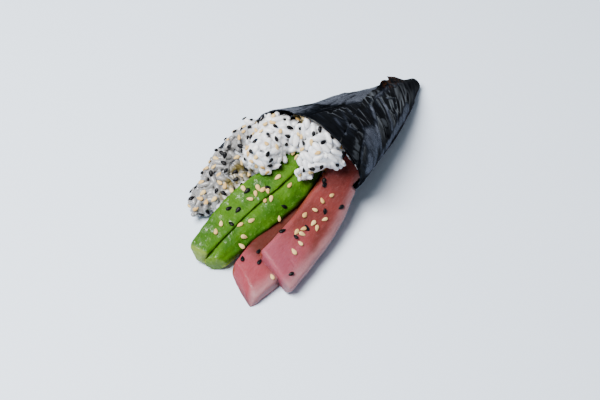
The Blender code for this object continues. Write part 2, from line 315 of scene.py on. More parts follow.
def cone_points(degrees, distance, outward):
    """Points round the cone, in metres. 0 degrees faces -Y, 90 is the top, 180 faces +Y."""
    middle, half_width, height = between(CONE_SECTIONS, distance)
    a = np.radians(degrees)
    y = middle - (half_width + outward) * np.cos(a)
    z = height / 2 + (height / 2 + outward) * np.sin(a) - NORI_SINK
    return np.stack([TIP.x - distance, TIP.y + y, z], axis=-1)


def rough(points, seed):
    """Soft noise from about -1 to 1 at each point of an array, in the points' own units."""
    rows = points.reshape(-1, 3)
    shift = Vector((seed, seed * 1.7, 0.3))
    values = np.fromiter((noise.noise(Vector(p) + shift) for p in rows), float, len(rows))
    return values.reshape(points.shape[:-1])


def sharp(points, seed):
    """The same, folded into sharp ridges: 1 on a ridge, falling away on both sides of it."""
    return 1 - 2 * np.abs(rough(points, seed))


def flat(u, v, w=0.0):
    """Points of a flat pattern."""
    return np.stack(np.broadcast_arrays(u, v, w), -1)


def fold(facing, mm, mm_per_degree, places, half_width):
    """1 on a line through some places of the sheet, falling to 0 at its half width."""
    nearest = np.full_like(mm, 1e9)
    for (start_degrees, start), (end_degrees, end) in zip(places, places[1:]):
        run_u, run_v = (end_degrees - start_degrees) * mm_per_degree, float(end - start)
        u, v = (facing - start_degrees) * mm_per_degree, mm - start
        share = np.clip((u * run_u + v * run_v) / (run_u**2 + run_v**2), 0.0, 1.0)
        nearest = np.minimum(nearest, np.hypot(u - share * run_u, v - share * run_v))
    return np.clip(1 - nearest / half_width, 0.0, 1.0)


def wrinkle_places(degrees, distance):
    """Across and along the fine wrinkles, in mm. They run round the cone, and along it past its top."""
    _, half_width, height = between(CONE_SECTIONS, distance)
    mm = distance * 1000
    arc = np.radians(degrees - 60) * (half_width + height / 2) / 2 * 1000
    slant = np.interp(mm, (28, 40, 50, 62, 83), (1.2, 0.9, 0.42, -0.1, -0.32))
    facing = (degrees + 90) % 360 - 90
    lengthwise = ease(facing, 92, 112) * (1 - 0.5 * ease(facing, 150, 200))
    across = (mm + slant * arc * (degrees > -90)) * (1 - lengthwise) + (arc + 0.25 * mm) * lengthwise
    along = arc * (1 - lengthwise) + mm * lengthwise
    return across, along


def crinkle(degrees, distance, across, along):
    """How far the sheet stands out from the smooth cone, in metres, and how pale its painted sheen makes it,
    from 0 to 2.
    """
    wide = rough(flat(across / 9, along / 14), 3.1)
    ripple = sharp(flat(across / 4.4 + 0.6 * wide, along / 17), 7.7)
    fine = sharp(flat(across / 2.1 + 0.8 * wide, along / 8), 1.3)
    out = 0.0004 + 0.00040 * wide + 0.00032 * ripple + 0.00018 * fine
    _, half_width, height = between(CONE_SECTIONS, distance)
    mm_per_degree = np.radians(half_width + height / 2) * 500
    facing = (degrees + 90) % 360 - 90
    # pale is painted sheen and painted highlights: blue-grey reflections put into the colour.
    pale = 0.02 + 0.35 * wide + 0.22 * ease(ripple, 0.7, 1.0)
    # Near the tip the top is smoother and gets less painted sheen, so it is blacker.
    quiet = ease(facing, 40, 55) * (1 - ease(distance, 0.034, 0.046)) * (degrees > -90)
    out -= 0.00028 * quiet * ripple
    pale *= 1 - 0.8 * quiet
    for places, half, tall, sheen in FOLDS:
        share = fold(facing, distance * 1000, mm_per_degree, places, half)
        out += tall / 1000 * share**1.2
        pale += sheen * ease(share, 0.0, 0.7)
    # The rim of the mouth gets a painted pale sheen on its far side.
    rim = ease(facing, 95, 115) * (1 - 0.5 * ease(facing, 150, 180))
    pale += 1.4 * rim * ease(distance, 0.074, 0.086)
    pale *= 1 + 1.1 * rough(flat(across / 3.2, along / 7), 4.4)
    out *= ease(distance, 0.005, 0.020)
    # The layer under the seam lies smooth; a narrow band along the edge gets no painted sheen and stays
    # black.
    covered = ease(seam_degrees(distance) - 362 - degrees, 0, 8)
    edge_mm = (seam_degrees(distance) - degrees) * mm_per_degree
    band = (1 - ease(edge_mm, 1.6, 3.0)) * (1 - ease(distance, 0.060, 0.070))
    return np.clip(out, -0.0004, 0.0018) * (1 - covered), np.clip(pale, 0.0, 2.0) * (1 - band)


def sheet_places(columns, rows):
    """(degrees, distance) of the sheet's points, from its inner edge to its seam and from tip to mouth."""
    steps = np.linspace(0, 1, 2000)
    # The columns crowd on the far top side, and from the front up to the seam.
    crowding = 1 + 1.6 * (np.abs(steps - 0.25) < 0.10) + 2.2 * (steps > 0.64)
    grown = np.cumsum(crowding) - crowding[0]
    across = np.interp(np.linspace(0, grown[-1], columns), grown, steps)[:, None]
    along = np.linspace(0, 1, rows)[None, :] ** 0.9
    ticks = np.linspace(0, 0.13, 1300)
    tears = rough(flat(ticks * 260, 0), 5.0) + 0.45 * rough(flat(ticks * 800, 0), 9.0)
    turns = np.linspace(-360, 130, 1300)
    nicks = 0.0007 * rough(flat(turns * 0.05, 0, 2), 2.0)
    distance = TIP_CUT + (MOUTH_FRONT - TIP_CUT) * along + 0 * across
    for _ in range(8):
        loose = ease(distance, 0.012, 0.018) * (1 - ease(distance, 0.030, 0.036))
        torn = np.interp(distance, ticks, tears) * (2.4 + 5 * loose) * (0.016 / (0.004 + distance * 0.3))
        end = seam_degrees(distance) + np.clip(torn, -16, 12)
        degrees = WRAP_START + (end - WRAP_START) * across
        distance = TIP_CUT + (mouth_distance(degrees) + np.interp(degrees, turns, nicks) - TIP_CUT) * along
    return degrees, distance


def closed_sheet(inner, outer):
    """Vertices and faces of a closed sheet between two grids of points."""
    columns, rows = inner.shape[:2]
    index = np.arange(2 * columns * rows).reshape(2, columns, rows)

    def strips(corner, right, up, over):
        return np.stack([corner, right, over, up], axis=-1).reshape(-1, 4)

    faces = []
    for layer in (0, 1):
        grid = index[layer]
        faces.append(strips(grid[:-1, :-1], grid[1:, :-1], grid[:-1, 1:], grid[1:, 1:]))
    for edge in (index[:, :, 0], index[:, :, -1], index[:, 0, :], index[:, -1, :]):
        faces.append(strips(edge[0, :-1], edge[0, 1:], edge[1, :-1], edge[1, 1:]))
    verts = np.concatenate([inner.reshape(-1, 3), outer.reshape(-1, 3)])
    return verts, np.concatenate(faces).tolist()


def set_marks(mesh, marks):
    """Gives a mesh values for its material, one to a vertex."""
    for key, values in marks.items():
        mark = mesh.attributes.new(key, "FLOAT", "POINT")
        mark.data.foreach_set("value", np.asarray(values, float).ravel())


def piece(name, verts, faces, finish, marks):
    """A mesh object with its faces turned outwards, its finish and its marks."""
    mesh = bpy.data.meshes.new(name)
    mesh.from_pydata(np.asarray(verts).tolist(), [], faces)
    bm = bmesh.new()
    bm.from_mesh(mesh)
    bmesh.ops.recalc_face_normals(bm, faces=bm.faces)
    bm.to_mesh(mesh)
    bm.free()
    mesh.shade_smooth()
    set_marks(mesh, marks)
    obj = bpy.data.objects.new(name, mesh)
    bpy.context.scene.collection.objects.link(obj)
    mesh.materials.append(finish.material)
    return obj


def nori_finish():
    """Near black, with painted sheen: blue-grey along its wrinkles, silvery on creases. Brown at its thin
    torn edge.
    """
    finish = Finish("nori", Specular_IOR_Level=0.0, Coat_Roughness=0.12)
    place = finish.place()
    lie = finish.vector(finish.mark("across"), finish.mark("along"), 0.0)
    pale = finish.mark("pale")
    wave = finish.speckle(finish.stretch(lie, 0.75, 0.09, 1.0), 1.0, 2.0, 0.6, 0.5)
    line = finish.crest(wave, 0.5)
    thin = finish.speckle(finish.stretch(lie, 1.7, 0.16, 1.0), 1.0, 3.0, 0.65, 0.6)
    fine_line = finish.crest(thin, 0.25)
    fibre = finish.speckle(place, 900.0, 4.0, 0.65)
    # grey is the colour of the painted sheen, mottled by the fibre.
    grey = finish.blend(fibre, (0.005, 0.007, 0.011), (0.015, 0.020, 0.031))
    crumpled = finish.speckle(finish.stretch(lie, 0.85, 0.45, 1.0), 1.0, 4.0, 0.7, 1.4)
    crease = finish.crest(crumpled, 0.62)
    # Painted glints: silvery lines on the creases where the painted sheen is strong.
    painted_crease_glints = finish.step(pale, 0.3, 1.6) * (crease * 0.8 + fine_line * 0.4)
    # Painted sheen: the black is lightened towards grey where pale is high, most on the wrinkles' lines.
    painted_sheen = pale * (fine_line * 0.55 + line * 0.25 + 0.30)
    tone = finish.blend(painted_sheen, (0.0008, 0.0010, 0.0015), grey)
    # Painted sheen: blue-grey lines along the wrinkles.
    tone = finish.blend(line * (0.05 + pale * 0.4), tone, (0.030, 0.037, 0.053))
    tone = finish.blend(painted_crease_glints, tone, (0.098, 0.108, 0.138))
    torn = finish.mark("thin_edge") * finish.step(finish.speckle(place, 620.0, 3.0), 0.45, 0.60)
    finish.feed("Base Color", finish.blend(torn, tone, (0.030, 0.011, 0.004)))
    finish.feed("Roughness", 0.20 + pale * 0.18)
    finish.feed("Coat Weight", finish.mark("glossy"))
    finish.relief(line * 0.6 + fine_line * 0.4, 0.00007)
    return finish


degrees, distance = sheet_places(NORI_COLUMNS, NORI_ROWS)
wrinkle_across, wrinkle_along = wrinkle_places(degrees, distance)
raised, pale = crinkle(degrees, distance, wrinkle_across, wrinkle_along)
outward = LAYER_STEP * (degrees + 90.0) / 360.0 + raised
seam_gap = seam_degrees(distance) - degrees
loose_corner = ease(distance, 0.011, 0.018) * (1 - ease(distance, 0.028, 0.036))
lifted = ease(distance, 0.016, 0.026) * (1 - ease(distance, 0.058, 0.070))
outward += CORNER_LIFT * loose_corner * (1 - ease(seam_gap, -4, 26))
outward += SEAM_LIFT * lifted * (1 - ease(seam_gap, -2, 12))
facing = (degrees + 90) % 360 - 90
far_rim = ease(facing, 100, 130) * (1 - ease(facing, 200, 225))
outward += RIM_FLARE * far_rim * ease(distance, 0.078, 0.092)
inner = cone_points(degrees, distance, outward - NORI_THICK / 2)
outer = cone_points(degrees, distance, outward + NORI_THICK / 2)
inner[..., 2] = np.maximum(inner[..., 2], NORI_THICK)
outer[..., 2] = np.maximum(outer[..., 2], 0.0)
thin_edge = loose_corner * (1 - ease(seam_gap, 8, 30))
glossy = 0.4 * (1 - ease(pale, 0.08, 0.45)) * ease(facing, 10, 45)
glossy *= 1 - 0.95 * ease(facing, 84, 100)
glossy = 0.04 + glossy * ease(distance, 0.015, 0.035)
# The mark pale carries the painted sheen and painted highlights to the material.
marks = {"thin_edge": thin_edge, "pale": pale, "glossy": glossy}
marks.update({"across": wrinkle_across, "along": wrinkle_along})
marks = {key: np.stack([values, values]) for key, values in marks.items()}
nori = piece("nori_sheet", *closed_sheet(inner, outer), nori_finish(), marks)
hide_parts("nori")
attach(nori, "root")

# ---- the tuna and the avocado --------------------------------------------
# Long slices cut by hand: two strips of raw tuna, the upper one on the edge of the lower, and two slices
# of ripe avocado side by side. They are wet, soft and a little pressed where they lie on each other.

# Distance behind the tip, then y, z, width, thickness and bank in degrees at the middle of the strip.
TUNA_LOWER = (
    (0.0660, -0.0045, 0.0112, 0.0150, 0.0080, -8),
    (0.0850, -0.0060, 0.0090, 0.0180, 0.0085, -8),
    (0.1100, -0.0065, 0.0062, 0.0210, 0.0088, -5),
    (0.1380, -0.0082, 0.0042, 0.0222, 0.0078, -5),
    (0.1540, -0.0070, 0.0030, 0.0188, 0.0056, -6),
)
TUNA_UPPER = (
    (0.0660, -0.0098, 0.0186, 0.0150, 0.0072, -50),
    (0.0850, -0.0126, 0.0163, 0.0164, 0.0075, -42),
    (0.0950, -0.0142, 0.0135, 0.0178, 0.0075, -36),
    (0.1050, -0.0153, 0.0109, 0.0197, 0.0075, -31),
    (0.1180, -0.0163, 0.0092, 0.0203, 0.0075, -26),
    (0.1320, -0.0164, 0.0083, 0.0211, 0.0075, -23),
    (0.1445, -0.0166, 0.0078, 0.0218, 0.0070, -22),
)
AVOCADO_RIGHT = (
    (0.0660, 0.0030, 0.0200, 0.0105, 0.0082, -29),
    (0.0900, 0.0026, 0.0172, 0.0128, 0.0088, -26),
    (0.1050, 0.0022, 0.0140, 0.0137, 0.0090, -24),
    (0.1200, 0.0046, 0.0111, 0.0140, 0.0090, -22),
    (0.1300, 0.0072, 0.0090, 0.0140, 0.0088, -20),
    (0.1400, 0.0096, 0.0068, 0.0135, 0.0083, -17),
    (0.1535, 0.0103, 0.0042, 0.0088, 0.0070, -10),
)
AVOCADO_LEFT = (
    (0.0660, 0.0084, 0.0240, 0.0108, 0.0084, -7),
    (0.0900, 0.0090, 0.0212, 0.0125, 0.0090, -8),
    (0.1100, 0.0120, 0.0168, 0.0133, 0.0095, -8),
    (0.1200, 0.0148, 0.0144, 0.0137, 0.0095, -8),
    (0.1300, 0.0168, 0.0118, 0.0138, 0.0095, -7),
    (0.1400, 0.0177, 0.0094, 0.0126, 0.0095, -6),
    (0.1480, 0.0184, 0.0075, 0.0112, 0.0092, -5),
    (0.1550, 0.0185, 0.0060, 0.0096, 0.0088, -4),
)

# Corner radius, crown, skew of the outer end, how far the end's foot juts out, how much narrower the
# underside is than the top, and how far the underside leans to -Y.
TUNA_LOWER_SHAPE = (0.0014, 0.0004, 0.0046, 0.0030, 0.0, 0.0)
TUNA_UPPER_SHAPE = (0.0019, 0.0004, 0.0024, 0.0, 0.0, 0.0)
AVOCADO_RIGHT_SHAPE = (0.0026, 0.0008, -0.0020, 0.0005, 0.15, 0.0)
AVOCADO_LEFT_SHAPE = (0.0013, 0.0002, -0.0004, 0.0, 0.45, 0.0016)

END_ROUNDING = 0.0018
SLICE_RINGS = 190
CORNER_STEPS = 7
FACE_STEPS = 22
SIDE_STEPS = 8
FLESH_SPARE = 0.0006  # how far the flesh may stand out of its solid where nothing is near
PRESS_REACH = 0.0020  # a neighbour nearer than this presses on the flesh
PRESS_GAP = 0.0005  # and leaves this between them


def section_ring(half_width, half_thick, corner, crown):
    """Points round a rounded rectangle whose faces swell by `crown`."""
    points = []
    for quarter in range(4):
        side_x = 1 if quarter in (0, 3) else -1
        side_z = 1 if quarter in (0, 1) else -1
        for step in range(CORNER_STEPS + 1):
            a = math.pi / 2 * (quarter + step / CORNER_STEPS)
            x = side_x * (half_width - corner) + corner * math.cos(a)
            points.append((x, side_z * (half_thick - corner) + corner * math.sin(a)))
        if quarter in (0, 2):
            for step in range(1, FACE_STEPS):
                share = 1 - 2 * step / FACE_STEPS
                x = side_x * share * (half_width - corner)
                points.append((x, side_z * (half_thick + crown * (1 - share * share))))
        else:
            for step in range(1, SIDE_STEPS):
                share = side_z * (1 - 2 * step / SIDE_STEPS)
                x = side_x * (half_width + crown * 0.5 * (1 - share * share))
                points.append((x, share * (half_thick - corner)))
    return points


def slice_points(stations, shape):
    """A grid of points on a slice, ring by ring, and each point's share along, across and up."""
    corner, crown, skew, foot, narrow, lean = shape
    first, last = stations[0][0], stations[-1][0]
    places = np.linspace(first, last, SLICE_RINGS)
    from_end = np.minimum(places - first, last - places)
    size = 1 - 0.12 * (1 - np.clip(from_end / END_ROUNDING, 0, 1)) ** 2
    grid, shares = [], []
    for distance, scale in zip(places, size):
        y_mid, z_mid, width, thick, bank = between(stations, distance)
        b = math.radians(bank)
        along = (distance - first) / (last - first)
        half_width, half_thick = width / 2 * scale, thick / 2 * scale
        ring = []
        for w, h in section_ring(half_width, half_thick, corner * scale, crown * scale):
            across, up = w / half_width, h / half_thick
            shares.append((along, across, up))
            w = w * (1 - narrow * (1 - up) / 2) + lean * (1 - up) / 2
            x = TIP.x - distance - skew * across * along**6 - foot * (1 - up) / 2 * along**8
            y = TIP.y + y_mid - w * math.cos(b) + h * math.sin(b)
            ring.append((x, y, max(z_mid + w * math.sin(b) + h * math.cos(b), 0.0)))
        grid.append(ring)
    return np.array(grid), np.array(shares).reshape(SLICE_RINGS, -1, 3)


def tree_of(obj):
    """A search tree of an object's faces."""
    corners = [vert.co for vert in obj.data.vertices]
    return BVHTree.FromPolygons(corners, [tuple(face.vertices) for face in obj.data.polygons])


solid_trees = {name: tree_of(node) for name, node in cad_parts.items()}


def press(points, node):
    """Moves points that stick out of their solid back to it, all the way where a neighbour presses."""
    neighbours = [tree for name, tree in solid_trees.items() if name != node]
    rows = points.reshape(-1, 3)
    for k, p in enumerate(rows):
        point = Vector(p)
        near, normal, _, _ = solid_trees[node].find_nearest(point)
        off = (point - near).dot(normal)
        if off > 0.0:
            gaps = [tree.find_nearest(point, PRESS_REACH)[3] for tree in neighbours]
            gap = min([g for g in gaps if g is not None], default=PRESS_REACH)
            allowed = min(max(gap - PRESS_GAP, 0.0), FLESH_SPARE)
            rows[k] = near + (point - near) * min(1.0, allowed / off)


def ring_normals(grid):
    """The outward direction at each point of a grid of rings."""
    along = np.gradient(grid, axis=0)
    around = np.roll(grid, -1, axis=1) - np.roll(grid, 1, axis=1)
    normal = np.cross(around, along)
    normal /= np.linalg.norm(normal, axis=-1, keepdims=True) + 1e-12
    centre = grid.mean(axis=1, keepdims=True)
    if np.sum(normal * (grid - centre)) < 0:
        normal = -normal
    return normal


def make_slice(name, stations, shape, finish, relief):
    """One slice as a closed mesh. relief(points, shares) is how far its surface is raised."""
    grid, shares = slice_points(stations, shape)
    press(grid, name)
    grid = grid + ring_normals(grid) * relief(grid * 1000, shares)[..., None]
    grid[..., 2] = np.maximum(grid[..., 2], 0.0001)
    rings, count = grid.shape[:2]
    index = np.arange(rings * count).reshape(rings, count)
    ahead = np.roll(index, -1, axis=1)
    faces = np.stack([index[:-1], ahead[:-1], ahead[1:], index[1:]], axis=-1).reshape(-1, 4).tolist()
    verts = grid.reshape(-1, 3)
    marks = shares.reshape(-1, 3)
    for ring in (0, rings - 1):
        middle = len(verts)
        verts = np.vstack([verts, grid[ring].mean(axis=0)])
        marks = np.vstack([marks, shares[ring].mean(axis=0)])
        faces += [(int(index[ring, k]), int(ahead[ring, k]), middle) for k in range(count)]
    marks = {"along": marks[:, 0], "across": marks[:, 1], "up": marks[:, 2]}
    obj = piece(name + "_slice", verts, faces, finish, marks)
    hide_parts(name)
    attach(obj, "root")
    return obj


def tuna_relief(points, shares):
    """Soft swellings, the grooves between the muscle's layers, and a blade's ripple."""
    swell = rough(points / 9.0, 4.0)
    layers = sharp(points * (0.07, 0.30, 0.2), 2.0)
    nicks = np.maximum(rough(points / 2.2, 8.0) - 0.40, 0)
    return 0.00030 * swell + 0.00012 * layers - 0.0005 * nicks


def tuna_finish(name, deep, red, pale, hidden_to=0.0):
    """Deep red muscle, paler towards its thin edge, wet all over, and orange-brown with painted shade low on
    its +Y side.

    Up to the share hidden_to of its length it lies under the other strip, darkened there with painted shade.
    """
    finish = Finish(name, Roughness=0.40, Specular_IOR_Level=0.12, Coat_Roughness=0.16)
    finish.glow(0.30, (0.0040, 0.0012, 0.0009), 0.6)
    place = finish.place()
    across, up, along = finish.mark("across"), finish.mark("up"), finish.mark("along")
    fibres = finish.speckle(finish.stretch(place, 0.30, 1.0, 1.0), 1100.0, 5.0, 0.68, 0.3)
    cloud = finish.speckle(finish.stretch(place, 0.5, 1.0, 1.0), 120.0, 3.0)
    rim = finish.step(across + cloud * 0.6, 0.62, 1.22)
    flesh = finish.blend(finish.step(cloud + along * 0.25, 0.45, 0.85), deep, red)
    flesh = finish.blend(finish.step(along + cloud * 0.3, 0.80, 1.15), flesh, pale)
    flesh = finish.blend(rim * 0.75, flesh, (0.28, 0.155, 0.170))
    flesh = finish.blend(finish.step(fibres, 0.50, 0.72) * 0.22, flesh, (0.34, 0.13, 0.13))
    flesh = finish.blend(finish.step(fibres, 0.50, 0.32) * 0.18, flesh, (0.09, 0.010, 0.009))
    # Painted shade: the low part of the +Y side is darkened to orange-brown.
    side = finish.step(0.0 - across, 0.90, 1.0) * finish.step(0.6 - up, 0.0, 0.6)
    flesh = finish.blend(side * 0.8, flesh, (0.16, 0.030, 0.006))
    if hidden_to:
        # Painted shade where the strip lies under the other one.
        painted_under_shade = finish.step(along, hidden_to, hidden_to - 0.10)
        flesh = finish.blend(painted_under_shade * 0.92, flesh, (0.060, 0.011, 0.005))
    finish.feed("Base Color", flesh)
    grain = finish.speckle(place, 1300.0, 3.0, 0.7)
    wet = finish.step(grain, 0.52, 0.68)
    finish.feed("Coat Weight", 0.03 + wet * 0.45)
    finish.relief(fibres * 0.8 + grain * 0.6 + cloud * 0.5, 0.00026)
    return finish


def avocado_relief(points, shares):
    """The soft flesh is dented by the knife and by fingers."""
    dents = rough(points / 5.0, 6.0)
    pits = rough(points / 1.7, 1.0)
    return 0.00035 * dents + 0.00014 * pits


def avocado_finish(name, end_share):
    """Vivid green flesh, yellower on its cut sides, mottled and wet. end_share is how pale its end is."""
    finish = Finish(name, Roughness=0.45, Specular_IOR_Level=0.10, Coat_Roughness=0.14)
    finish.glow(0.12, (0.0015, 0.0020, 0.0004), 0.5)
    place = finish.place()
    across, up, along = finish.mark("across"), finish.mark("up"), finish.mark("along")
    patch = finish.speckle(place, 780.0, 5.0, 0.66, 0.5)
    cloud = finish.speckle(finish.stretch(place, 0.5, 1.0, 1.0), 150.0, 3.0)
    green = finish.blend(finish.step(cloud, 0.32, 0.68), (0.020, 0.082, 0.0003), (0.047, 0.133, 0.0006))
    # Painted highlights: pale green dabs where the speckle is high, for the wet glints.
    green = finish.blend(finish.step(patch, 0.54, 0.68) * 0.45, green, (0.13, 0.22, 0.040))
    cut = finish.step(abs(across), 0.88, 0.97) * finish.step(0.55 - up, 0.0, 0.5)
    green = finish.blend(cut * 0.55, green, (0.20, 0.26, 0.020))
    end = finish.step(along, 0.985, 1.0)
    green = finish.blend(end * end_share, green, (0.24, 0.31, 0.050))
    finish.feed("Base Color", green)
    finish.feed("Coat Weight", 0.04 + finish.step(patch, 0.52, 0.66) * 0.50)
    finish.relief(patch * 0.8 + cloud * 0.6, 0.00055)
    return finish


tuna = tuna_finish("tuna_flesh", (0.130, 0.026, 0.023), (0.20, 0.036, 0.033), (0.27, 0.060, 0.086))
lower_tuna = tuna_finish(
    "lower_tuna_flesh", (0.15, 0.022, 0.026), (0.23, 0.032, 0.046), (0.24, 0.036, 0.050), 0.92
)
avocado = avocado_finish("avocado_flesh", 0.2)
left_avocado = avocado_finish("left_avocado_flesh", 0.6)
slices = [
    make_slice("tuna_lower", TUNA_LOWER, TUNA_LOWER_SHAPE, lower_tuna, tuna_relief),
    make_slice("tuna_upper", TUNA_UPPER, TUNA_UPPER_SHAPE, tuna, tuna_relief),
    make_slice("avocado_right", AVOCADO_RIGHT, AVOCADO_RIGHT_SHAPE, avocado, avocado_relief),
    make_slice("avocado_left", AVOCADO_LEFT, AVOCADO_LEFT_SHAPE, left_avocado, avocado_relief),
]

# ---- the rice ------------------------------------------------------------
# Cooked short-grain rice, pressed into the cone and heaped in its mouth in three clumps. It is sticky, so
# the grains melt into each other and only some stand out. Oil has stained it yellow in places, with
# painted shade mixed in, the clefts between the grains are darkened with painted shade, and the clump on
# the far side is painted greyer, partly painted shade and partly a glassier grain.

GRAIN_LENGTH = 0.0072
GRAIN_WIDTH = 0.0030
HEAP_SHRINK = 0.0016  # how far the heap's core is drawn in under its grains
CORE_SHRINK = 0.0032  # and the plain core that fills the cone, which stays under the heap
GRAIN_SPACING = 0.0029  # between the grains that are stuck together
LOOSE_SPACING = 0.0046  # and between those that lie on top
GRAIN_TRIES = 16000
LOWEST_GRAIN = 0.0014
OUTER_CLEARANCE = 0.0040  # what scattered grains leave round those that stand out
RIM_CLEARANCE = 0.0017  # and between them and the sheet on the far side
RICE_VOXEL = 0.00045  # how finely the grains are melted together
CORE_VOXEL = 0.0012
HEAP_FROM = 0.0740  # behind the tip: further in, only the rice's plain core is there

# Grains that stand out of the heap: both ends as distance behind the tip, y and z, in mm.
OUTER_GRAINS = (
    ((85.2, 7.6, 43.6), (90.1, 4.8, 40.3)),
    ((86.6, 3.0, 41.7), (92.0, 0.0, 39.5)),
    ((90.8, 9.2, 36.0), (94.8, 8.0, 29.6)),
    ((88.2, 10.6, 39.0), (91.8, 8.6, 34.2)),
    ((90.8, 11.6, 35.0), (94.4, 10.3, 30.0)),
    ((86.0, -2.9, 41.0), (88.9, -8.2, 37.4)),
    ((91.8, -4.0, 38.8), (91.9, -9.6, 35.1)),
    ((90.9, -9.1, 35.8), (86.9, -13.3, 31.6)),
    ((93.4, -8.9, 35.3), (91.2, -13.6, 30.8)),
    ((89.8, -11.5, 30.7), (87.5, -15.4, 26.3)),
    ((93.2, -1.0, 38.3), (94.7, -7.0, 35.8)),
    ((98.3, -4.5, 32.1), (94.0, -7.8, 35.6)),
    ((98.2, -4.9, 31.4), (95.0, -10.2, 30.2)),
    ((96.9, 1.4, 33.6), (98.3, -4.8, 31.4)),
    ((97.2, 4.6, 30.0), (100.4, 0.2, 27.2)),
    ((99.2, -0.2, 31.6), (101.4, -4.4, 27.6)),
    ((99.8, 4.2, 22.4), (101.6, -1.0, 20.6)),
    ((101.2, -1.2, 20.8), (95.8, -3.4, 20.2)),
    ((86.4, -6.9, 38.4), (85.4, -10.9, 34.5)),
    ((104.5, 12.5, 28.5), (108.5, 13.8, 23.8)),
    ((95.5, 35.5, 27.5), (91.5, 32.5, 30.5)),
    ((108.0, 38.0, 21.0), (103.5, 38.5, 24.0)),
)

# Where oil has stained the rice, with painted shade mixed in: distance behind the tip, y, z and reach, in mm.
OIL_AND_SHADE_SPOTS = (
    (111, 27, 16, 6.0),
    (118, 27, 14, 5.0),
    (110, 23, 14, 5.0),
    (112, 20, 21, 3.5),
    (124, 27, 12, 3.5),
    (81, 15, 33, 5),
    (86, 10, 39, 3.5),
    (100, 10, 22, 4),
)


def rice_finish():
    """White and a little translucent, with painted shade between the grains, and yellow where oil and painted
    shade lie.
    """
    finish = Finish("rice", Roughness=0.36, Coat_Weight=0.30, Coat_Roughness=0.16)
    finish.glow(0.80, (0.0022, 0.0020, 0.0018), 1.0)
    place = finish.place()
    body = finish.blend(finish.mark("tone"), (0.56, 0.58, 0.63), (0.84, 0.84, 0.86))
    # Painted shade: points that lie deep under the rice's shell, between the grains, are painted darker.
    body = finish.blend(finish.mark("depth") * 0.75, body, (0.36, 0.35, 0.30))
    # The far clump is painted greyer: painted shade, and a glassier grain.
    body = finish.blend(finish.mark("glassy_and_shaded") * 0.88, body, (0.15, 0.147, 0.145))
    oily = finish.step(finish.speckle(place, 260.0, 3.0, 0.6), 0.30, 0.60)
    # Oil stains with painted shade mixed in, painted dark yellow-olive.
    body = finish.blend(finish.mark("oil_and_shade") * (oily * 0.5 + 0.5), body, (0.11, 0.085, 0.018))
    finish.feed("Base Color", body)
    finish.relief(finish.speckle(place, 1500.0, 2.0), 0.00006)
    return finish


def from_mm(distance, y, z):
    """A point from its distance behind the tip, y and z in mm."""
    return Vector((TIP.x - distance / 1000, TIP.y + y / 1000, z / 1000))


def spindle_faces(rings, sides):
    """The faces of a first point, rings of points one after the other, and a last point."""
    faces = [(0, 1 + (k + 1) % sides, 1 + k) for k in range(sides)]
    for ring in range(rings - 2):
        for k in range(sides):
            a, b = 1 + ring * sides + k, 1 + ring * sides + (k + 1) % sides
            faces.append((a, b, b + sides, a + sides))
    last = 1 + (rings - 2) * sides
    return faces + [(last + k, last + (k + 1) % sides, last + sides) for k in range(sides)]


def grain(start, end, up, width, bend, rings=9, sides=12):
    """One grain: a plump spindle, a little bent and flattened."""
    centre, along = (start + end) / 2, (end - start).normalized()
    length = (end - start).length
    up = (up - along * up.dot(along)).normalized()
    side = along.cross(up)
    verts = [start]
    for ring in range(1, rings):
        t = ring / rings * 2 - 1
        reach = math.sqrt(1 - abs(t) ** 2.5) * (1 - 0.10 * t)
        middle = centre + along * (t * length / 2) + up * (bend * (t * t - 0.4))
        for k in range(sides):
            a = 2 * math.pi * k / sides
            verts.append(middle + (side * math.cos(a) + up * (0.86 * math.sin(a))) * (width / 2 * reach))
    verts.append(end)
    return verts, spindle_faces(rings, sides)


def in_the_open(point):
    """Whether a point is outside the cone, or just inside the sheet's edge."""
    distance = TIP.x - point.x
    middle, half_width, height = between(CONE_SECTIONS, min(distance, 0.128))
    y = (point.y - TIP.y - middle) / half_width
    z = (point.z + NORI_SINK - height / 2) / (height / 2)
    degrees = math.degrees(math.atan2(z, -y))
    return distance > mouth_distance(degrees) - 0.005 or math.hypot(y, z) > 1.05


def clear_of_slices(start, end, width, trees):
    """The way a grain must move to lie on the slices and not in them."""
    push = Vector()
    for share in (0.1, 0.5, 0.9):
        point = start.lerp(end, share)
        for tree in trees:
            near, normal, _, _ = tree.find_nearest(point)
            short = width * 0.30 - (point - near).dot(normal)
            if (point - near).length < width and short > push.length:
                push = normal * short
    return push


def drift(spot):
    """A direction that changes slowly over the heap, so that neighbouring grains lie alike."""
    place = spot * 90
    shifts = (Vector((0, 0, 0)), Vector((31, 0, 7)), Vector((5, 43, 0)))
    return Vector([noise.noise(place + shift) for shift in shifts])


def random_spot(mesh, triangle, rng):
    a, b = sorted((rng.random(), rng.random()))
    p, q, r = (mesh.vertices[i].co for i in triangle.vertices)
    return p * a + q * (b - a) + r * (1 - b)


def random_way(rng):
    return Vector((rng.gauss(0, 1), rng.gauss(0, 1), rng.gauss(0, 1)))


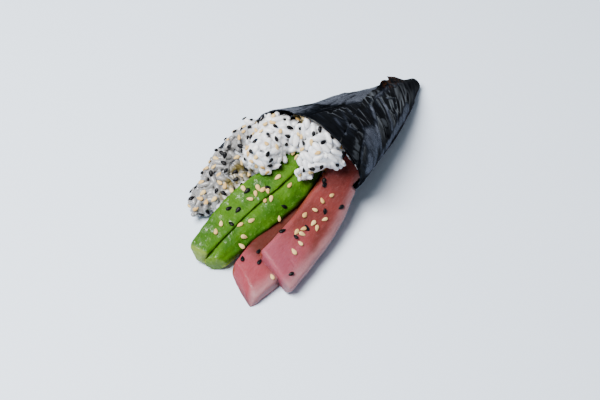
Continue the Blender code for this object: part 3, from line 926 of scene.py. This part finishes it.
def lay_grains(rng, spacing, sunk, taken=()):
    """Ends, up and width of grains evenly scattered over the heap, sunk in by a share of their width."""
    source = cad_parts["rice"].data
    source.calc_loop_triangles()
    areas = [t.area for t in source.loop_triangles]
    trees = [tree_of(obj) for obj in slices]
    chosen, laid = [], []
    for t in rng.choices(source.loop_triangles, weights=areas, k=GRAIN_TRIES):
        spot = random_spot(source, t, rng)
        if not in_the_open(spot) or spot.z < LOWEST_GRAIN:
            continue
        if any((spot - other).length < spacing for other in chosen):
            continue
        if any((spot - other).length < OUTER_CLEARANCE for other in taken):
            continue
        if spot.y > TIP.y + 0.012 and solid_trees["nori"].find_nearest(spot, RIM_CLEARANCE)[0]:
            continue
        chosen.append(spot)
        normal = t.normal.copy()
        heading = random_way(rng) + 3 * drift(spot)
        along = (heading - normal * heading.dot(normal) * rng.choice((0.97, 0.95, 0.80))).normalized()
        length = GRAIN_LENGTH * rng.uniform(0.88, 1.10)
        width = GRAIN_WIDTH * rng.uniform(0.90, 1.06)
        centre = spot - normal * (width * sunk)
        start, end = centre - along * length / 2, centre + along * length / 2
        push = clear_of_slices(start, end, width, trees)
        if push.length > width:
            continue
        laid.append((start + push, end + push, normal, width))
    return laid


def add_skin(obj, name, voxel):
    """Covers what the mesh encloses with one even closed skin."""
    skin = obj.modifiers.new(name, "REMESH")
    skin.mode = "VOXEL"
    skin.voxel_size = voxel


def apply_modifiers(obj):
    graph = bpy.context.evaluated_depsgraph_get()
    obj.data = bpy.data.meshes.new_from_object(obj.evaluated_get(graph))
    obj.modifiers.clear()


def shrunk_core(name, from_distance, shrink):
    """The rice's own mass, drawn in. The part nearer the tip than from_distance is cut off."""
    bm = bmesh.new()
    bm.from_mesh(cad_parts["rice"].data)
    parts = bm.verts[:] + bm.edges[:] + bm.faces[:]
    cut_at = Vector((TIP.x - from_distance, 0, 0))
    bmesh.ops.bisect_plane(bm, geom=parts, plane_co=cut_at, plane_no=(1, 0, 0), clear_outer=True)
    bmesh.ops.holes_fill(bm, edges=[edge for edge in bm.edges if edge.is_boundary])
    bmesh.ops.recalc_face_normals(bm, faces=bm.faces)
    mesh = bpy.data.meshes.new(name)
    bm.to_mesh(mesh)
    bm.free()
    obj = bpy.data.objects.new(name, mesh)
    bpy.context.scene.collection.objects.link(obj)
    add_skin(obj, "even", CORE_VOXEL)
    apply_modifiers(obj)
    points = obj.data.vertices
    co, normal = np.empty((2, len(points) * 3))
    points.foreach_get("co", co)
    points.foreach_get("normal", normal)
    points.foreach_set("co", co - normal * shrink)
    return obj


def add_part(verts, faces, part_verts, part_faces):
    """Adds one more part to the lists of a joined mesh."""
    faces += [tuple(len(verts) + i for i in face) for face in part_faces]
    verts += [tuple(v) for v in part_verts]


def joined_grains(laid, rng, verts, faces):
    """Adds each grain to the lists."""
    for start, end, up, width in laid:
        add_part(verts, faces, *grain(start, end, up, width, rng.uniform(-0.0004, 0.0003)))
    return verts, faces


def melted_heap(laid, rng):
    """The grains and the core under them, melted into one closed skin."""
    obj = shrunk_core("rice_heap", HEAP_FROM, HEAP_SHRINK)
    verts = [tuple(vert.co) for vert in obj.data.vertices]
    faces = [tuple(face.vertices) for face in obj.data.polygons]
    joined_grains(laid, rng, verts, faces)
    joined = bpy.data.meshes.new("rice_heap")
    joined.from_pydata(verts, [], faces)
    obj.data = joined
    add_skin(obj, "melt", RICE_VOXEL)
    settle = obj.modifiers.new("settle", "SMOOTH")
    settle.factor = 0.5
    settle.iterations = 3
    apply_modifiers(obj)
    return obj


def mark_heap(obj, laid, rng):
    """Marks each grain's own tone, how deep a point lies, for painted shade, the oil-stained spots with
    painted shade mixed in, and the far clump, painted greyer for shade and a glassier grain.
    """
    nearest = KDTree(len(laid))
    for k, (start, end, _, _) in enumerate(laid):
        nearest.insert((start + end) / 2, k)
    nearest.balance()
    tones = [rng.uniform(0.25, 1.0) for _ in laid]
    shell = solid_trees["rice"]
    oil_and_shade_spots = [(from_mm(*place), reach / 1000) for *place, reach in OIL_AND_SHADE_SPOTS]
    tone, depth, oil_and_shade = [], [], []
    for vert in obj.data.vertices:
        tone.append(tones[nearest.find(vert.co)[1]])
        near, normal, _, _ = shell.find_nearest(vert.co)
        # depth is how far a point lies under the shell, for the painted shade between the grains.
        depth.append(min(max(((near - vert.co).dot(normal) - 0.0008) / 0.0016, 0.0), 1.0))
        spread = max(1 - (vert.co - place).length / reach for place, reach in oil_and_shade_spots)
        oil_and_shade.append(min(max(spread * 2.5, 0.0), 1.0))
    places = np.array([vert.co for vert in obj.data.vertices])
    # The far clump, painted greyer for shade and for a glassier grain.
    glassy_and_shaded = ease(places[:, 1] - TIP.y, 0.024, 0.031)
    glassy_and_shaded *= ease(TIP.x - places[:, 0], 0.090, 0.102)
    set_marks(obj.data, {"tone": tone, "depth": depth, "oil_and_shade": oil_and_shade, "glassy_and_shaded": glassy_and_shaded})


rice_rng = random.Random(11)
stuck_grains = lay_grains(rice_rng, GRAIN_SPACING, 0.62)
rice = melted_heap(stuck_grains, rice_rng)
mark_heap(rice, stuck_grains, rice_rng)
outer_grains = []
for ends in OUTER_GRAINS:
    start, end = (from_mm(*place) for place in ends)
    outer_grains.append((start, end, Vector((0, 0, 1)), GRAIN_WIDTH * 0.95))
middles = [(start + end) / 2 for start, end, _, _ in outer_grains]
loose_grains = outer_grains + lay_grains(rice_rng, LOOSE_SPACING, 0.34, middles)
rice_skin = rice_finish()
loose_rice = piece("rice_grains", *joined_grains(loose_grains, rice_rng, [], []), rice_skin, {})
mark_heap(loose_rice, loose_grains, rice_rng)
for obj in (rice, loose_rice, shrunk_core("rice_core", 0.0, CORE_SHRINK)):
    obj.data.materials.clear()
    obj.data.materials.append(rice_skin.material)
    obj.data.shade_smooth()
    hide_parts("rice")
    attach(obj, "root")

# ---- the sesame ----------------------------------------------------------
# Toasted hulled seeds and black seeds, shaken over the rice and slices. They are drop-shaped and lie flat,
# stuck to what is under them, and most of them are on the rice.

SEED_LENGTH = 0.0034
SEED_WIDTH = 0.0019
SEED_THICK = 0.0010
SEED_SPACING = 0.0030

# Seeds on the slices, as distance behind the tip and y in mm.
PALE_ON_SLICES = (
    (140, 17), (144, 16), (138, 5), (141, 4), (130, 7), (135, 10), (123, 13), (117, 13), (116, 10),
    (115, 8), (117, 5), (119, 7), (108, 8), (107, 2), (121, 18), (120, 12), (121, -2),
    (115, -12), (110, -14), (104, -14), (99, -16), (110, -19), (115, -17), (116, -19), (121, -15),
    (124, -14), (123, -16), (127, -18), (132, -18), (146, -16),
)
BLACK_ON_SLICES = (
    (107, -17), (100, -21), (119, -16), (126, -15), (142, -23), (128, -9), (139, -4), (143, -7), (146, 0),
    (116, -1), (137, 13), (121, 16), (114, 9), (130, 14), (132, 18), (97, -10), (98, -11),
)


def seed_form(centre, along, up, size, rings=9, sides=12):
    """One seed: a flattened drop, round at one end and pointed at the other."""
    side = along.cross(up)
    length, width, thick = SEED_LENGTH * size, SEED_WIDTH * size, SEED_THICK * size
    verts = [centre - along * (length / 2)]
    for ring in range(1, rings):
        t = ring / rings
        reach = math.sin(math.pi * t**0.72) ** 0.75
        for k in range(sides):
            a = 2 * math.pi * k / sides
            across = side * (math.cos(a) * width / 2 * reach)
            lift = up * (math.sin(a) * thick / 2 * reach)
            verts.append(centre + along * (length * (t - 0.5)) + across + lift)
    verts.append(centre + along * (length / 2))
    return verts, spindle_faces(rings, sides)


def seed_finish(name, dark, light, roughness):
    finish = Finish(name, Roughness=roughness, Specular_IOR_Level=0.12)
    skin = finish.speckle(finish.place(), 1400.0, 3.0, 0.6)
    tone = finish.blend(finish.mark("tone"), dark, light)
    finish.feed("Base Color", finish.blend(skin * 0.35, tone, dark))
    finish.relief(skin, 0.00008)
    return finish


def drop_seed(tree, x, y, rng):
    """Where a seed let fall at (x, y) comes to lie, or None where nothing is under it."""
    spot, normal, _, _ = tree.ray_cast(Vector((x, y, 0.1)), Vector((0, 0, -1)))
    if spot is None or spot.z < 0.001:
        return None
    return settled(spot, normal, rng)


def settled(spot, normal, rng):
    """How a seed lies on a spot: its middle, its length's direction and its up."""
    heading = random_way(rng)
    tilted = (normal + heading * 0.14).normalized()
    along = (heading - tilted * heading.dot(tilted)).normalized()
    return spot + normal * (SEED_THICK * 0.30), along, tilted


def seeds_on_rice(count, spacing, taken, rng):
    """Seeds scattered on the grains of the heap's upper and outer faces, fewer beside the tuna."""
    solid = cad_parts["rice"].data
    tops = [t for t in solid.loop_triangles if t.normal.z > -0.15 and in_the_open(Vector(t.center))]
    trees = [tree_of(rice), tree_of(loose_rice)]
    found = []
    for t in rng.choices(tops, weights=[x.area for x in tops], k=count * 40):
        face_spot = random_spot(solid, t, rng)
        if face_spot.y - TIP.y < 0.008 and rng.random() < 0.5:
            continue
        hits = [tree.ray_cast(face_spot + t.normal * 0.004, -t.normal, 0.0048) for tree in trees]
        hits = [hit for hit in hits if hit[0] and hit[0].z > 0.001]
        if not hits:
            continue
        spot = min(hits, key=lambda hit: hit[3])[0]
        if len(found) < count and all((spot - other).length > spacing for other in taken):
            taken.append(spot)
            found.append(settled(spot, t.normal.copy(), rng))
    return found


def make_seeds(name, on_slices, on_rice, finish, taken, rng):
    trees = [tree_of(obj) for obj in slices]
    lying = []
    for distance, y in on_slices:
        x = TIP.x - (distance + rng.uniform(-0.4, 0.4)) / 1000
        drops = [drop_seed(tree, x, TIP.y + (y + rng.uniform(-0.4, 0.4)) / 1000, rng) for tree in trees]
        drops = [drop for drop in drops if drop]
        if drops:
            lying.append(max(drops, key=lambda drop: drop[0].z))
    lying += seeds_on_rice(on_rice, SEED_SPACING, taken, rng)
    verts, faces, tones = [], [], []
    for centre, along, up in lying:
        seed = seed_form(centre, along, up, rng.uniform(0.88, 1.08))
        add_part(verts, faces, *seed)
        tones += [rng.random()] * len(seed[0])
    obj = piece(name, verts, faces, finish, {"tone": tones})
    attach(obj, "root")


seed_rng = random.Random(5)
taken = []
pale_seed = seed_finish("pale_seed", (0.52, 0.31, 0.10), (0.72, 0.53, 0.23), 0.5)
black_seed = seed_finish("black_seed", (0.0015, 0.0015, 0.002), (0.004, 0.004, 0.006), 0.40)
make_seeds("black_sesame", BLACK_ON_SLICES, 78, black_seed, taken, seed_rng)
make_seeds("pale_sesame", PALE_ON_SLICES, 70, pale_seed, taken, seed_rng)
